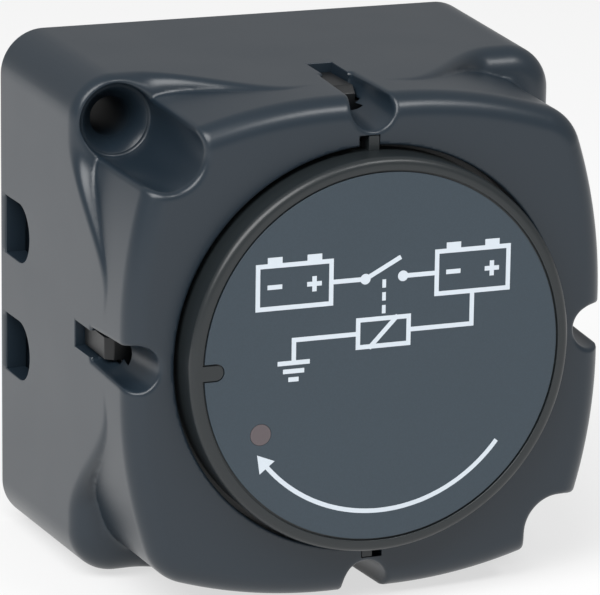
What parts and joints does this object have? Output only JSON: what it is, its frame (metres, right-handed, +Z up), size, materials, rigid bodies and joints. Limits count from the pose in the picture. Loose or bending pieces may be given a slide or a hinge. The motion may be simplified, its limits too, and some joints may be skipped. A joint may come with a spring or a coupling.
{
  "type": "battery isolator relay",
  "caption": "Square surface-mounted battery isolator relay: moulded housing, round snap-in relay drum with an indicator, rear studs, solenoid and contact bridge.",
  "frame": {"origin": "centre of the rear mounting plane, midway between the two mounting screws", "axes": "+Y into the wall (the front faces -Y), +Z up, +X to the right as seen from the front"},
  "size_m": [0.069, 0.0525, 0.069],
  "materials": {
    "housing_plastic": "satin moulded, dark slate grey",
    "drum_plastic": "satin moulded, near black",
    "label_film": "fine-grained printed film, blue grey",
    "window_plastic": "smoky red, clear",
    "base_plastic": "matt, glass filled",
    "board_laminate": "solder mask",
    "lamp_plastic": "clear lens",
    "component_plastic": "moulded",
    "capacitor_sleeve": "shrink sleeve",
    "bobbin_plastic": "natural",
    "copper": "plain copper",
    "silver": "dull silver",
    "brass": "plain",
    "magnet_iron": "zinc plated",
    "screw_steel": "zinc plated",
    "spring_steel": "bright wire",
    "gasket_rubber": "soft black"
  },
  "bodies": {
    "relay_body": {"housing": "housing_plastic", "relay_drum": "drum_plastic", "label_disc": "label_film", "light_pipe": "window_plastic", "circuit_board": "board_laminate", "indicator_lamp": "lamp_plastic", "controller_chip": "component_plastic", "driver_transistor": "component_plastic", "capacitors": "capacitor_sleeve", "resistors": "component_plastic", "board_screws": "screw_steel", "coil_bobbin": "bobbin_plastic", "coil_winding": "copper", "coil_pins": "brass", "fixed_core": "magnet_iron", "yoke_frame": "magnet_iron", "yoke_plate": "magnet_iron", "yoke_screws": "screw_steel", "return_spring": "spring_steel", "contact_spring": "spring_steel", "fixed_contacts": "silver", "contact_chamber": "base_plastic", "stud_upper": "brass", "stud_lower": "brass", "stud_washers": "screw_steel", "spring_washers": "screw_steel", "stud_nuts": "brass", "ground_blade": "brass", "sense_strips": "brass", "terminal_base": "base_plastic", "base_gasket": "gasket_rubber", "base_screws": "screw_steel", "rear_cover": "housing_plastic", "cover_screws": "screw_steel"},
    "plunger": {"plunger": "magnet_iron", "push_rod": "brass", "retaining_clip": "screw_steel"},
    "bridge": {"contact_bridge": "copper", "moving_contacts": "silver", "spring_seat": "bobbin_plastic"},
    "latch_top": {"latch_top": "drum_plastic"},
    "latch_right": {"latch_right": "drum_plastic"},
    "latch_bottom": {"latch_bottom": "drum_plastic"},
    "latch_left": {"latch_left": "drum_plastic"}
  },
  "joints": [
    {"name": "plunger_slide", "type": "slide", "parent": "relay_body", "child": "plunger", "axis": [0, 1, 0], "range_m": [0, 0.0025], "stiffness_N_per_m": 300, "springref_m": -0.004, "deforming": ["return_spring"]},
    {"name": "bridge_slide", "type": "slide", "parent": "plunger", "child": "bridge", "axis": [0, -1, 0], "range_m": [0, 0.0005], "stiffness_N_per_m": 600, "springref_m": -0.0015, "deforming": ["contact_spring"]},
    {"name": "latch_top_flex", "type": "hinge", "parent": "relay_body", "child": "latch_top", "pos_m": [0, -0.0172, 0.0297], "axis": [1, 0, 0], "range_deg": [0, 8.5], "stiffness_Nm_per_rad": 0.05, "springref_deg": -2.86},
    {"name": "latch_right_flex", "type": "hinge", "parent": "relay_body", "child": "latch_right", "pos_m": [0.0297, -0.0172, 0], "axis": [0, 0, -1], "range_deg": [0, 8.5], "stiffness_Nm_per_rad": 0.05, "springref_deg": -2.86},
    {"name": "latch_bottom_flex", "type": "hinge", "parent": "relay_body", "child": "latch_bottom", "pos_m": [0, -0.0172, -0.0297], "axis": [-1, 0, 0], "range_deg": [0, 8.5], "stiffness_Nm_per_rad": 0.05, "springref_deg": -2.86},
    {"name": "latch_left_flex", "type": "hinge", "parent": "relay_body", "child": "latch_left", "pos_m": [-0.0297, -0.0172, 0], "axis": [0, 0, 1], "range_deg": [0, 8.5], "stiffness_Nm_per_rad": 0.05, "springref_deg": -2.86}
  ],
  "couplings": [
    {"joint": "bridge_slide", "follows": "plunger_slide", "ratio": 0.2}
  ]
}
